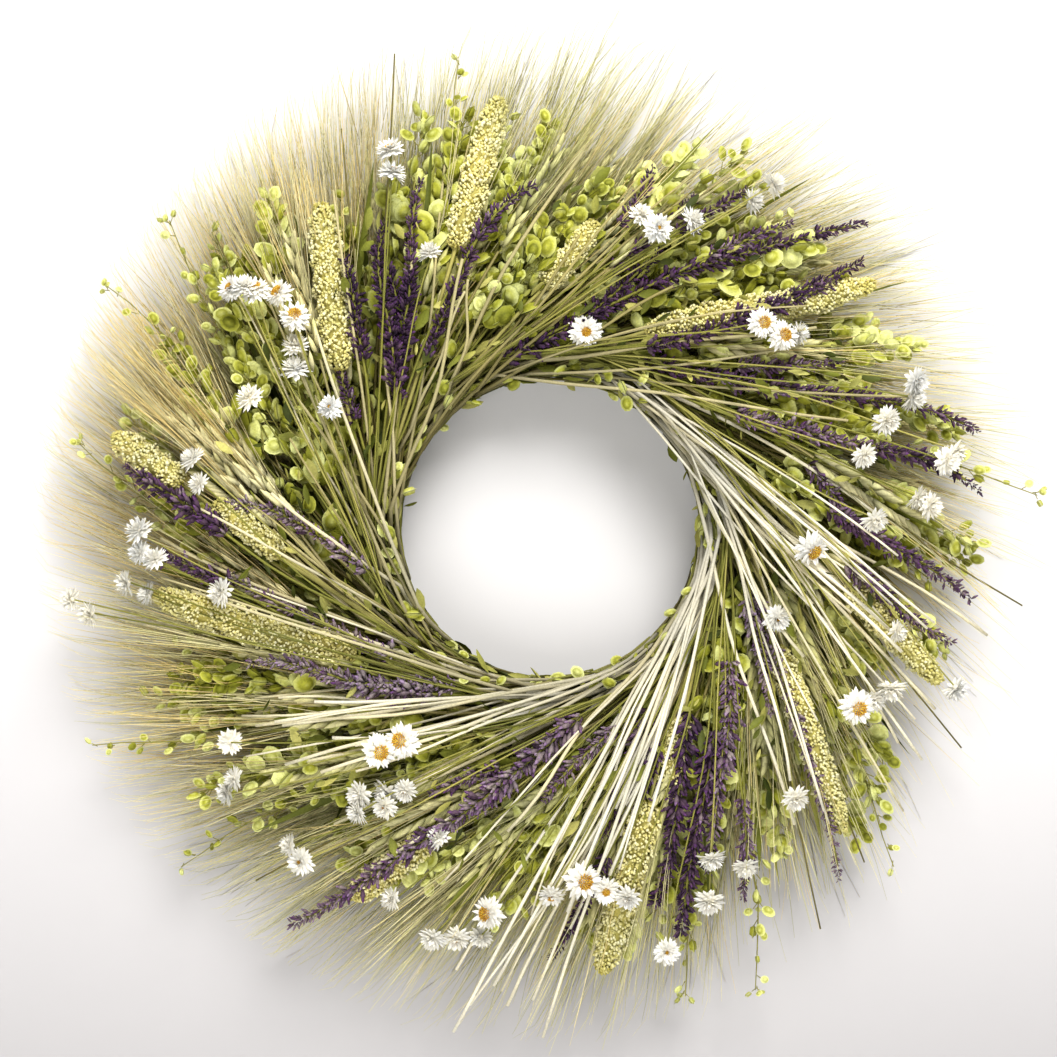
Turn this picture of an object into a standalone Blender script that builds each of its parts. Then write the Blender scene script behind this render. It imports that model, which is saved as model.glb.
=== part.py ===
"""Dried-flower wall wreath on a two-rail wire frame.

The wreath hangs upright: +Z is up, the front faces -Y and the wall is the plane
y = 0. The origin is the point of a wall hook that carries the underside of the
outer rail. Places round the wreath are given as a clock angle in degrees, zero
at the top and growing clockwise as seen from the front, and a radius from the
ring centre.

Every bunch lies along straight lines tangent to one circle, the "foot circle".
A line is named by the clock angle of its foot and a place on it by the run u
from that foot. Lines with different feet never cross, so bunches that keep to
their own span of feet stay clear of each other.
"""

import math

import bmesh
import bpy
from mathutils import Vector

MM = 0.001

# Frame of the wreath
INNER_RAIL_RADIUS = 92.0
OUTER_RAIL_RADIUS = 112.0
RAIL_WIRE = 3.6
RAIL_CENTRE_Y = -3.1
RAIL_SEGMENTS = 60
RAIL_SIDES = 8
TIE_WIRE = 2.4
TIE_CENTRE_Y = -6.4
TIE_CLOCKS = (20.0, 92.0, 164.0, 236.0, 308.0)
TIE_INNER = 90.5
TIE_OUTER = 113.5
RING_CENTRE_Z = -(OUTER_RAIL_RADIUS - RAIL_WIRE / 2)

# Binding wire
BIND_WIRE = 0.9
BIND_BACK_Y = -0.55
BIND_FRONT_Y = -24.9
BIND_INNER = 89.4
BIND_OUTER = 114.6
BIND_MIDDLE = 102.0
BIND_CORNER = 2.0
BIND_BACK_CORNER = 1.0
BIND_TURNS = 2
BIND_START = 5.0
BIND_PITCH = 2.4
BIND_TRAVEL = (12.0, 20.0, 28.0, 36.0)
WIRE_SIDES_LEVEL = 1

# Bunches
BUNCHES = 10
BUNCH_STEP = 36.0
FIRST_BUNCH_CLOCK = 272.1
FOOT_RADIUS = 104.0
BUNCH_MARGIN = 0.5
CORE_DEPTH = 26.0
RISE_RUN = 110.0
RISE_START_FACTOR = 0.6
DEPTH_BREAK_RUN = 150.0
DEPTH_END_RUN = 262.0
DEPTH_END_FACTOR = 0.62
EDGE_THICKNESS = 0.4
BEND_THICKNESS = 0.9
RAMP_THICKNESS = 0.7
TIP_THICKNESS = 0.3
BUNDLE_START = 2.0
RAMP_START = 11.5
RAMP_END = 26.0
FAN_START = 28.0

# Wheat: the back layer, its stems lie directly on the frame
WHEAT_BUNDLE_Y = (-7.9, -14.0)
WHEAT_BUNDLE_RADII = (109.3, 94.8)
WHEAT_BUNDLE_END = 24.0
WHEAT_NECK_RADIUS = 117.5
WHEAT_NECK_CLOCKS = (28.2, 35.3)
WHEAT_NECK_Y = (-7.9, -24.0)
WHEAT_FAN_Y = (-7.0, -30.5)
WHEAT_SPREAD = ((75.0, 49.0), (96.0, 63.2))
WHEAT_SPREAD_GAP = 0.7
WHEAT_TIP_RUN = 262.0
WHEAT_TIP_OFFSETS = (24.0, 6.0, 14.0, 0.0, 12.0, 4.0, 20.0)

# A fan has a pointed finger for each spike or spray, with valleys between them
EDGE_SHARE = 0.015
FINGER_SHARE = 0.08
VALLEY_RUN = 0.78
BEND_RUN = 0.9

# The four kinds in front of the wheat: stem lane in the bundle and depth of the fan
STEM_Y = (-14.4, -23.9)
PENNYCRESS_LANE = (109.2, 106.0)
PENNYCRESS_Y = (-34.5, -48.0)
SETARIA_LANE_RADIUS = 103.9
SETARIA_STEM_RADIUS = 1.5
SETARIA_LEAST_RUN = 12.0
SETARIA_PROFILE = ((0.08, 0.75), (0.30, 1.0), (0.65, 0.92), (0.90, 0.62), (1.0, 0.20))
ROUND_SIDES = 8
SETARIA_Y = -58.5
SALVIA_LANE = (101.9, 98.6)
SALVIA_Y = (-71.0, -77.5)
AMMOBIUM_LANE = (98.2, 94.9)
AMMOBIUM_Y = (-86.0, -99.0)

# Pennycress sprays: share of the bunch width from its clockwise side, and in each
# bunch the runs of the three tips
PENNYCRESS_SHARES = (0.86, 0.50, 0.14)
PENNYCRESS_TIPS = (
    (205.0, 226.0, 214.0),
    (198.0, 232.0, 208.0),
    (212.0, 222.0, 205.0),
    (222.0, 238.0, 226.0),
    (204.0, 228.0, 210.0),
    (214.0, 230.0, 218.0),
    (208.0, 236.0, 212.0),
    (218.0, 240.0, 222.0),
    (214.0, 236.0, 226.0),
    (202.0, 232.0, 224.0),
)

# Setaria heads: share of the bunch width from its clockwise side, run of the
# base of the head, run of its tip, half width of the head
SETARIA_HEADS = (
    (0.55, 130.0, 222.0, 8.4),
    (0.80, 92.0, 138.0, 7.0),
    (0.84, 92.0, 204.0, 7.8),
    (0.24, 132.0, 210.0, 8.0),
    (0.56, 100.0, 212.0, 8.2),
    (0.57, 128.0, 228.0, 8.8),
    (0.55, 152.0, 212.0, 8.2),
    (0.08, 92.0, 198.0, 8.6),
    (0.55, 176.0, 228.0, 7.8),
    (0.27, 102.0, 198.0, 8.4),
)

# Salvia spikes: share of the bunch width from its clockwise side, run of the tip
SALVIA_SPIKES = (
    ((0.30, 196.0), (0.56, 150.0), (0.90, 184.0)),
    ((0.10, 228.0), (0.38, 196.0), (0.64, 182.0)),
    ((0.12, 222.0), (0.34, 228.0), (0.84, 190.0)),
    ((0.36, 206.0), (0.62, 218.0), (0.88, 120.0)),
    ((0.10, 212.0), (0.29, 118.0), (0.52, 238.0)),
    ((0.38, 220.0), (0.72, 194.0), (0.90, 216.0)),
    ((0.16, 116.0), (0.54, 250.0), (0.86, 130.0)),
    ((0.14, 150.0), (0.46, 120.0), (0.80, 140.0)),
    ((0.38, 148.0), (0.66, 220.0), (0.90, 192.0)),
    ((0.11, 154.0), (0.36, 120.0), (0.80, 110.0)),
)

# Ammobium sprays: share of the bunch width from its clockwise side, run of the tip
AMMOBIUM_SPRAYS = (
    ((0.30, 120.0), (0.62, 150.0), (0.92, 208.0)),
    ((0.38, 208.0), (0.62, 156.0), (0.88, 110.0)),
    ((0.14, 204.0), (0.40, 200.0), (0.72, 134.0)),
    ((0.16, 224.0), (0.46, 130.0), (0.86, 188.0)),
    ((0.36, 180.0), (0.62, 130.0), (0.88, 180.0)),
    ((0.06, 212.0), (0.42, 182.0), (0.84, 230.0)),
    ((0.17, 162.0), (0.56, 158.0), (0.92, 220.0)),
    ((0.14, 256.0), (0.50, 124.0), (0.86, 214.0)),
    ((0.12, 150.0), (0.46, 170.0), (0.88, 210.0)),
    ((0.42, 150.0), (0.60, 186.0), (0.90, 198.0)),
)

# Looks
STEEL_GREEN = (0.035, 0.075, 0.045, 1.0)
STRAW = (0.74, 0.63, 0.38, 1.0)
PALE_GREEN = (0.46, 0.52, 0.16, 1.0)
YELLOW_GREEN = (0.60, 0.58, 0.20, 1.0)
PURPLE = (0.075, 0.032, 0.13, 1.0)
WHITE = (0.86, 0.84, 0.78, 1.0)


def clear_startup_objects():
    """Remove whatever the start-up file holds."""
    for obj in list(bpy.data.objects):
        bpy.data.objects.remove(obj, do_unlink=True)


def make_material(name, colour, roughness, metallic=0.0):
    """Return a plain Principled material."""
    material = bpy.data.materials.new(name)
    material.use_nodes = True
    shader = material.node_tree.nodes["Principled BSDF"]
    shader.inputs["Base Color"].default_value = colour
    shader.inputs["Roughness"].default_value = roughness
    shader.inputs["Metallic"].default_value = metallic
    material.diffuse_color = colour
    return material


def ring_point(clock, radius, y):
    """Return the point in metres from the ring centre at a clock angle, radius and depth."""
    angle = math.radians(clock)
    return (radius * math.sin(angle) * MM, y * MM, radius * math.cos(angle) * MM)


def add_guide(name, parent, height, clock):
    """Place an empty that carries pieces: raised by a height and turned by a clock angle."""
    guide = bpy.data.objects.new(name, None)
    guide.parent = parent
    guide.location = (0.0, 0.0, height * MM)
    guide.rotation_euler = (0.0, math.radians(clock), 0.0)
    bpy.context.collection.objects.link(guide)
    return guide


def line_place(foot, run):
    """Return clock angle and radius of the place a run along the line from a foot."""
    clock = foot + math.degrees(math.atan2(run, FOOT_RADIUS))
    return clock, math.hypot(FOOT_RADIUS, run)


def first_run(foot):
    """Return the run at which the fan begins on the line of a foot."""
    lead = math.radians(max(0.0, FAN_START - foot))
    return FOOT_RADIUS * math.tan(lead)


def thickness_factor(foot, run):
    """Return how thick a layer is at a place, as a share of its full thickness.

    A layer fans out from a thin start near the ring to its full thickness at
    RISE_RUN, and from DEPTH_BREAK_RUN on it draws in towards the wall.
    """
    if run < RISE_RUN:
        start = first_run(foot)
        share = max(0.0, run - start) / (RISE_RUN - start)
        return RISE_START_FACTOR + (1.0 - RISE_START_FACTOR) * share
    share = max(0.0, run - DEPTH_BREAK_RUN) / (DEPTH_END_RUN - DEPTH_BREAK_RUN)
    return 1.0 - (1.0 - DEPTH_END_FACTOR) * share


def layer_y(y, foot, run):
    """Return the depth at a place of a layer whose depth is y where it is thickest."""
    factor = thickness_factor(foot, run)
    if run >= RISE_RUN:
        return y * factor
    if y > -CORE_DEPTH:
        return y
    return -CORE_DEPTH + (y + CORE_DEPTH) * factor


def add_object(name, data, material, parent):
    """Link an object that shows its data in one material, carried by its parent."""
    data.materials.append(material)
    obj = bpy.data.objects.new(name, data)
    obj.parent = parent
    bpy.context.collection.objects.link(obj)
    return obj


def add_mesh(name, vertices, faces, material, parent):
    """Create a mesh object with outward facing normals."""
    mesh = bpy.data.meshes.new(name)
    mesh.from_pydata(vertices, [], faces)
    work = bmesh.new()
    work.from_mesh(mesh)
    bmesh.ops.recalc_face_normals(work, faces=work.faces)
    work.to_mesh(mesh)
    work.free()
    return add_object(name, mesh, material, parent)


def add_rail(name, radius, material, parent):
    """Build one closed rail of the frame."""
    vertices = []
    faces = []
    half = RAIL_WIRE / 2
    for i in range(RAIL_SEGMENTS):
        clock = 360.0 * i / RAIL_SEGMENTS
        for j in range(RAIL_SIDES):
            turn = 2 * math.pi * (j + 0.5) / RAIL_SIDES
            corner = half / math.cos(math.pi / RAIL_SIDES)
            offset = corner * math.cos(turn)
            y = RAIL_CENTRE_Y + corner * math.sin(turn)
            vertices.append(ring_point(clock, radius + offset, y))
    for i in range(RAIL_SEGMENTS):
        following = (i + 1) % RAIL_SEGMENTS
        for j in range(RAIL_SIDES):
            beside = (j + 1) % RAIL_SIDES
            faces.append((
                i * RAIL_SIDES + j,
                i * RAIL_SIDES + beside,
                following * RAIL_SIDES + beside,
                following * RAIL_SIDES + j,
            ))
    return add_mesh(name, vertices, faces, material, parent)


def add_wire(name, places, width, cyclic, material, parent):
    """Build a round wire through clock, radius and depth places."""
    curve = bpy.data.curves.new(name, "CURVE")
    curve.dimensions = "3D"
    curve.bevel_depth = width / 2 * MM
    curve.bevel_resolution = WIRE_SIDES_LEVEL
    curve.use_fill_caps = True
    spline = curve.splines.new("POLY")
    spline.points.add(len(places) - 1)
    for point, place in zip(spline.points, places):
        point.co = (*ring_point(*place), 1.0)
    spline.use_cyclic_u = cyclic
    return add_object(name, curve, material, parent)


def add_binding_wire(material, parent):
    """Build the one long wire that binds every bunch to both rails."""
    corner = BIND_CORNER
    back_corner = BIND_BACK_CORNER
    loop = (
        (BIND_INNER + back_corner, BIND_BACK_Y),
        (BIND_INNER, BIND_BACK_Y - back_corner),
        (BIND_INNER, BIND_FRONT_Y + corner),
        (BIND_INNER + corner, BIND_FRONT_Y),
        (BIND_OUTER - corner, BIND_FRONT_Y),
        (BIND_OUTER, BIND_FRONT_Y + corner),
        (BIND_OUTER, BIND_BACK_Y - back_corner),
        (BIND_OUTER - back_corner, BIND_BACK_Y),
    )
    places = []
    for bunch in range(BUNCHES):
        start = FIRST_BUNCH_CLOCK + bunch * BUNCH_STEP
        for turn in range(BIND_TURNS):
            for i, (radius, y) in enumerate(loop):
                clock = start + BIND_START + BIND_PITCH * (turn + i / len(loop))
                places.append((clock, radius, y))
        for travel in BIND_TRAVEL:
            places.append((start + travel, BIND_MIDDLE, BIND_BACK_Y))
    return add_wire("binding_wire", places, BIND_WIRE, True, material, parent)


def add_sheet_body(name, rows, material, parent):
    """Close a grid of (clock, radius, back y, front y) places into one solid."""
    columns = len(rows[0])
    vertices = []
    for side in (2, 3):
        for row in rows:
            for place in row:
                vertices.append(ring_point(place[0], place[1], place[side]))
    half = len(rows) * columns

    def index(side, i, j):
        return side * half + i * columns + j

    faces = []
    for i in range(len(rows) - 1):
        for j in range(columns - 1):
            for side in (0, 1):
                faces.append((
                    index(side, i, j),
                    index(side, i, j + 1),
                    index(side, i + 1, j + 1),
                    index(side, i + 1, j),
                ))
    last = len(rows) - 1
    for i in range(last):
        for j in (0, columns - 1):
            faces.append((index(0, i, j), index(0, i + 1, j), index(1, i + 1, j), index(1, i, j)))
    for j in range(columns - 1):
        for i in (0, last):
            faces.append((index(0, i, j), index(0, i, j + 1), index(1, i, j + 1), index(1, i, j)))
    return add_mesh(name, vertices, faces, material, parent)


def spread(start, end, columns):
    """Return evenly spaced values from start to end."""
    return [start + (end - start) * j / (columns - 1) for j in range(columns)]


def thinned(back, front, share):
    """Return back and front depths drawn in towards their middle."""
    middle = (back + front) / 2
    half = (back - front) / 2 * share
    return middle + half, middle - half


def edge_share(j, columns):
    """Return the thickness share of a column: thin at both edges, full between."""
    if j in (0, columns - 1):
        return EDGE_THICKNESS
    return 1.0


def fan_place(foot, run, depths, share):
    """Return a grid place on the line of a foot."""
    clock, radius = line_place(foot, run)
    back, front = thinned(*(layer_y(y, foot, run) for y in depths), share)
    return clock, radius, back, front


def add_wheat(number, material, parent):
    """Build the wheat of one bunch: stem bundle on the frame, neck and fan."""
    columns = len(WHEAT_TIP_OFFSETS)
    feet = spread(BUNCH_MARGIN, BUNCH_STEP - BUNCH_MARGIN, columns)
    radii = spread(*WHEAT_BUNDLE_RADII, columns)
    shares = [edge_share(j, columns) for j in range(columns)]
    rows = []
    for clock in (BUNDLE_START, WHEAT_BUNDLE_END):
        rows.append([(clock, radius, *WHEAT_BUNDLE_Y) for radius in radii])
    clocks = spread(*WHEAT_NECK_CLOCKS, columns)
    rows.append([(clock, WHEAT_NECK_RADIUS, *WHEAT_NECK_Y) for clock in clocks])
    for left_run, right_clock in WHEAT_SPREAD:
        left_clock, left_radius = line_place(feet[0], left_run)
        clocks = spread(left_clock, right_clock, columns)
        radii = spread(left_radius, WHEAT_NECK_RADIUS + WHEAT_SPREAD_GAP, columns)
        row = []
        for clock, radius, share in zip(clocks, radii, shares):
            run = math.sqrt(radius ** 2 - FOOT_RADIUS ** 2)
            foot = clock - math.degrees(math.acos(FOOT_RADIUS / radius))
            front = layer_y(WHEAT_FAN_Y[1], foot, run)
            row.append((clock, radius, *thinned(WHEAT_FAN_Y[0], front, share)))
        rows.append(row)
    rows.append([
        fan_place(foot, DEPTH_BREAK_RUN, WHEAT_FAN_Y, share) for foot, share in zip(feet, shares)
    ])
    rows.append([
        fan_place(foot, WHEAT_TIP_RUN - offset, WHEAT_FAN_Y, TIP_THICKNESS)
        for foot, offset in zip(feet, WHEAT_TIP_OFFSETS)
    ])
    return add_sheet_body(f"wheat_sheaf_{number:02d}", rows, material, parent)


def finger_columns(fingers):
    """Return feet and tip runs of a fan with one pointed finger per spike."""
    ordered = sorted(fingers, reverse=True)
    shares = [min(1.0 - EDGE_SHARE, ordered[0][0] + FINGER_SHARE), ordered[0][0]]
    tips = [ordered[0][1] * VALLEY_RUN, ordered[0][1]]
    for share, tip in ordered[1:]:
        shares += [(shares[-1] + share) / 2, share]
        tips += [(tips[-1] + tip) / 2 * VALLEY_RUN, tip]
    shares.append(max(EDGE_SHARE, shares[-1] - FINGER_SHARE))
    tips.append(tips[-1] * VALLEY_RUN)
    feet = [BUNCH_STEP * (1.0 - share) for share in shares]
    return feet, tips


def add_fan(name, lane, depths, fingers, material, parent):
    """Build one kind of a bunch: stems in the bundle, a rise, and a fan with fingers."""
    feet, tips = finger_columns(fingers)
    columns = len(feet)
    radii = spread(*lane, columns)
    shares = [edge_share(j, columns) for j in range(columns)]
    rows = []
    for clock in (BUNDLE_START, RAMP_START):
        rows.append([(clock, radius, *STEM_Y) for radius in radii])
    rise = [layer_y(y, FAN_START, 0.0) for y in depths]
    rows.append([(RAMP_END, radius, *thinned(*rise, RAMP_THICKNESS)) for radius in radii])
    rows.append([
        fan_place(foot, first_run(foot), depths, share) for foot, share in zip(feet, shares)
    ])
    middle = [min(RISE_RUN, tip * BEND_RUN) for tip in tips]
    rows.append([
        fan_place(foot, run, depths, share) for foot, run, share in zip(feet, middle, shares)
    ])
    if max(tips) > DEPTH_BREAK_RUN:
        bend = [max(min(DEPTH_BREAK_RUN, tip * BEND_RUN), run) for tip, run in zip(tips, middle)]
        rows.append([
            fan_place(foot, run, depths, BEND_THICKNESS * share)
            for foot, run, share in zip(feet, bend, shares)
        ])
    rows.append([fan_place(foot, tip, depths, TIP_THICKNESS) for foot, tip in zip(feet, tips)])
    return add_sheet_body(name, rows, material, parent)


def add_setaria(number, head, material, parent):
    """Build one setaria stem and head as a round body along its line."""
    share, base_run, tip_run, half_width = head
    foot = BUNCH_STEP * (1.0 - share)
    stem = SETARIA_STEM_RADIUS
    stem_y = (STEM_Y[0] + STEM_Y[1]) / 2
    stations = [
        (BUNDLE_START, SETARIA_LANE_RADIUS, stem_y, stem),
        (RAMP_START, SETARIA_LANE_RADIUS, stem_y, stem),
        (RAMP_END, SETARIA_LANE_RADIUS, layer_y(SETARIA_Y, FAN_START, 0.0), stem),
    ]
    profile = [(max(SETARIA_LEAST_RUN, first_run(foot)), stem), (base_run, stem)]
    for along, width in SETARIA_PROFILE:
        profile.append((base_run + along * (tip_run - base_run), width * half_width))
    for run, half in profile:
        clock, radius = line_place(foot, run)
        half *= thickness_factor(foot, run) if half > stem else 1.0
        stations.append((clock, radius, layer_y(SETARIA_Y, foot, run), half))
    return add_round_body(f"setaria_{number:02d}", stations, material, parent)


def section_axes(before, after):
    """Return two unit vectors across the way from one point to another."""
    ahead = (Vector(after) - Vector(before)).normalized()
    across = Vector((ahead.z, 0.0, -ahead.x)).normalized()
    return across, ahead.cross(across)


def add_round_body(name, stations, material, parent):
    """Sweep a round section of changing width through the stations."""
    centres = [ring_point(*station[:3]) for station in stations]
    last = len(centres) - 1
    sides = ROUND_SIDES
    vertices = []
    faces = []
    for i, centre in enumerate(centres):
        across, up = section_axes(centres[max(0, i - 1)], centres[min(last, i + 1)])
        half = stations[i][3] * MM
        for j in range(sides):
            turn = 2 * math.pi * j / sides
            offset = half * (math.cos(turn) * across + math.sin(turn) * up)
            vertices.append(tuple(Vector(centre) + offset))
    for i in range(last):
        for j in range(sides):
            beside = (j + 1) % sides
            faces.append((
                i * sides + j,
                i * sides + beside,
                (i + 1) * sides + beside,
                (i + 1) * sides + j,
            ))
    faces.append(tuple(range(sides)))
    faces.append(tuple(range(last * sides, last * sides + sides)))
    return add_mesh(name, vertices, faces, material, parent)


def build_frame(ring):
    """Build the rails, the ties across them and the binding wire."""
    frame = make_material("frame_steel", STEEL_GREEN, 0.45)
    wire = make_material("binding_steel", STEEL_GREEN, 0.4)
    add_rail("inner_rail", INNER_RAIL_RADIUS, frame, ring)
    add_rail("outer_rail", OUTER_RAIL_RADIUS, frame, ring)
    for i, clock in enumerate(TIE_CLOCKS):
        ends = ((clock, TIE_INNER, TIE_CENTRE_Y), (clock, TIE_OUTER, TIE_CENTRE_Y))
        add_wire(f"cross_tie_{i + 1}", ends, TIE_WIRE, False, frame, ring)
    add_binding_wire(wire, ring)


def build_bunches(ring):
    """Build the five kinds of every bunch, each bunch turned to its own place."""
    wheat = make_material("wheat_straw", STRAW, 0.7)
    pennycress = make_material("pennycress_pods", PALE_GREEN, 0.75)
    setaria = make_material("setaria_seed", YELLOW_GREEN, 0.8)
    salvia = make_material("salvia_bloom", PURPLE, 0.85)
    ammobium = make_material("ammobium_petal", WHITE, 0.7)
    for i in range(BUNCHES):
        number = i + 1
        clock = FIRST_BUNCH_CLOCK + i * BUNCH_STEP
        bunch = add_guide(f"bunch_{number:02d}", ring, 0.0, clock)
        add_wheat(number, wheat, bunch)
        sprays = list(zip(PENNYCRESS_SHARES, PENNYCRESS_TIPS[i]))
        add_fan(
            f"pennycress_{number:02d}", PENNYCRESS_LANE, PENNYCRESS_Y, sprays, pennycress, bunch
        )
        add_setaria(number, SETARIA_HEADS[i], setaria, bunch)
        add_fan(f"salvia_{number:02d}", SALVIA_LANE, SALVIA_Y, SALVIA_SPIKES[i], salvia, bunch)
        add_fan(
            f"ammobium_{number:02d}", AMMOBIUM_LANE, AMMOBIUM_Y, AMMOBIUM_SPRAYS[i], ammobium, bunch
        )


def main():
    """Build every piece of the wreath."""
    clear_startup_objects()
    ring = add_guide("ring_centre", None, RING_CENTRE_Z, 0.0)
    build_frame(ring)
    build_bunches(ring)


main()
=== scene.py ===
"""Looks of a dried-flower wall wreath: wheat, pennycress, millet, salvia and ammobium.

Every plant piece is laid out in the wreath's own terms, in millimetres from the
ring centre, with y negative towards the viewer. A stem lies along a straight line
tangent to the foot circle. The line is named by the clock angle of its foot, and a
place on it by its run from the foot. A bunch is a span of 36 degrees of feet, and a
share of 0 to 1 goes across it from its clockwise side.
"""

import math

import bpy
import numpy as np
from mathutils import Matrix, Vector


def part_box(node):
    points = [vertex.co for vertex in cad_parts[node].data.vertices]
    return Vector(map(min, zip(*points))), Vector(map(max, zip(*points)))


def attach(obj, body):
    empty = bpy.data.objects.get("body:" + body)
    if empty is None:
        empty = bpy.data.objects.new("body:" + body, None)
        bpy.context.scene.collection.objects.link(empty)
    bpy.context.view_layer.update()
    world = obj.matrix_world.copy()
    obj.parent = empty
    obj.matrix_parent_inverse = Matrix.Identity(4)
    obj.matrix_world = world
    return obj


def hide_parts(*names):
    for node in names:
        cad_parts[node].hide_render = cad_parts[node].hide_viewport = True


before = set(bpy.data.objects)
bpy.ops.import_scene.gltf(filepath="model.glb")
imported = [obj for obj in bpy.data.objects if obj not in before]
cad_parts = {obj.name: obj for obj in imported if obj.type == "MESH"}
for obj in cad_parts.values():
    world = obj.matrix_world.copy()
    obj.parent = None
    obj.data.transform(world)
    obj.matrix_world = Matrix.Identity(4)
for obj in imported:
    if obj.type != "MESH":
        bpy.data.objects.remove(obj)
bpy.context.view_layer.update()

MM = 0.001
RING_LOW, RING_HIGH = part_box("outer_rail")
RING_CENTRE = np.array([
    (RING_LOW[0] + RING_HIGH[0]) / 2,
    0.0,
    (RING_LOW[2] + RING_HIGH[2]) / 2,
])
WALL_GAP = 0.001
WALL_CLEARANCE = 0.6
TRIM_RADIUS = 278.0
LARGEST_RADIUS = 299.0

FOOT_RADIUS = 104.0
BUNCHES = 10
BUNCH_STEP = 36.0
FIRST_BUNCH_CLOCK = 272.1
RISE_RUN = 110.0
RISE_START = 0.6
DRAW_IN_RUN = 150.0
DRAW_IN_RATE = 0.38 / 112.0
CORE_DEPTH = 26.0
DEPTH_AXIS = np.array([0.0, 1.0, 0.0])
UP_AXIS = np.array([0.0, 0.0, 1.0])
FULL_TURN = 2.0 * math.pi
GOLDEN_TURN = math.pi * (3.0 - math.sqrt(5.0))
# Range of a random turn in radians
ANY_TURN = (0.0, 6.28)

# Depths of the layers where they are thickest
WHEAT_DEPTH = (-32.0, -9.0)
FRONT_WHEAT_DEPTH = (-74.0, -62.0)
PENNYCRESS_DEPTH = (-66.0, -36.0)
SETARIA_DEPTH = -70.0
SALVIA_DEPTH = -76.0
AMMOBIUM_DEPTH = -88.0
STRAW_DEPTH = (-92.0, -66.0)
THIN_STEM_DEPTH = (-60.0, -20.0)
AWN_RADII = (0.25, 0.09)

# Length of a wheat head with its beard, and kinds of pennycress spray: pods, length, size of a pod
WHEAT_REACH = 122.0
POD_SPRAYS = ((31, 88.0, 14.2), (26, 74.0, 15.2), (23, 60.0, 13.4), (36, 104.0, 12.8))
# Run from the base of a trailing spray to its tip, and points along the spine of a head
TRAILING_REACH = 80.0
SPINE_POINTS = 60

# Setaria heads of each bunch: share, run of the base, run of the tip, half width
SETARIA_HEADS = (
    ((0.55, 130, 222, 8.2),),
    ((0.8, 92, 138, 6.6),),
    ((0.84, 70, 204, 7.6),),
    ((0.24, 132, 212, 7.2),),
    ((0.56, 100, 214, 7.4),),
    ((0.57, 126, 230, 9.0), (0.63, 82, 128, 6.4)),
    ((0.55, 152, 212, 8.0),),
    ((0.06, 80, 200, 9.2),),
    ((0.55, 178, 230, 8.0), (0.5, 108, 156, 7.0)),
    ((0.27, 102, 198, 8.6),),
)

# Salvia spikes of each bunch: share, run of the base, run of the tip, half width,
# and tone from dark to pale
SALVIA_SPIKES = (
    ((0.3, 122, 168, 4.0, 0.3), (0.42, 60, 136, 4.8, 0.2),
     (0.88, 92, 184, 4.6, 0.3), (0.93, 62, 150, 5.0, 0.1), (0.7, 64, 120, 5.4, 0.1)),
    ((0.12, 60, 228, 4.8, 0.2), (0.22, 140, 194, 4.0, 0.4), (0.36, 20, 130, 5.2, 0.1),
     (0.57, 110, 176, 4.6, 0.2), (0.72, 140, 180, 3.8, 0.3), (0.46, 146, 196, 4.2, 0.2)),
    ((0.1, 158, 224, 4.4, 0.2), (0.28, 30, 230, 5.0, 0.4), (0.36, 92, 150, 4.4, 0.5),
     (0.84, 68, 182, 4.8, 0.2), (0.92, 120, 205, 4.4, 0.2)),
    ((0.34, 130, 208, 4.6, 0.5), (0.62, 120, 220, 4.8, 0.4), (0.9, 66, 152, 5.0, 0.6),
     (0.48, 86, 160, 4.4, 0.5)),
    ((0.3, 54, 120, 4.6, 0.8), (0.52, 62, 238, 3.8, 0.7), (0.1, 150, 212, 4.4, 0.5)),
    ((0.36, 66, 156, 5.2, 0.5), (0.38, 150, 222, 4.0, 0.2), (0.76, 84, 196, 6.2, 0.2),
     (0.86, 96, 216, 6.0, 0.2), (0.95, 64, 186, 5.4, 0.6), (0.5, 90, 150, 4.6, 0.4)),
    ((0.56, 42, 250, 6.2, 0.6), (0.3, 84, 128, 4.4, 0.5), (0.8, 50, 110, 4.4, 0.6)),
    ((0.2, 40, 146, 5.6, 0.8), (0.3, 36, 100, 4.6, 0.8)),
    ((0.38, 56, 146, 4.6, 0.7), (0.64, 146, 220, 5.6, 0.3), (0.88, 146, 194, 5.2, 0.4),
     (0.82, 44, 150, 4.8, 0.8)),
    ((0.11, 96, 154, 4.6, 0.1), (0.04, 74, 168, 5.0, 0.1), (0.36, 78, 120, 4.0, 0.2)),
)

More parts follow.
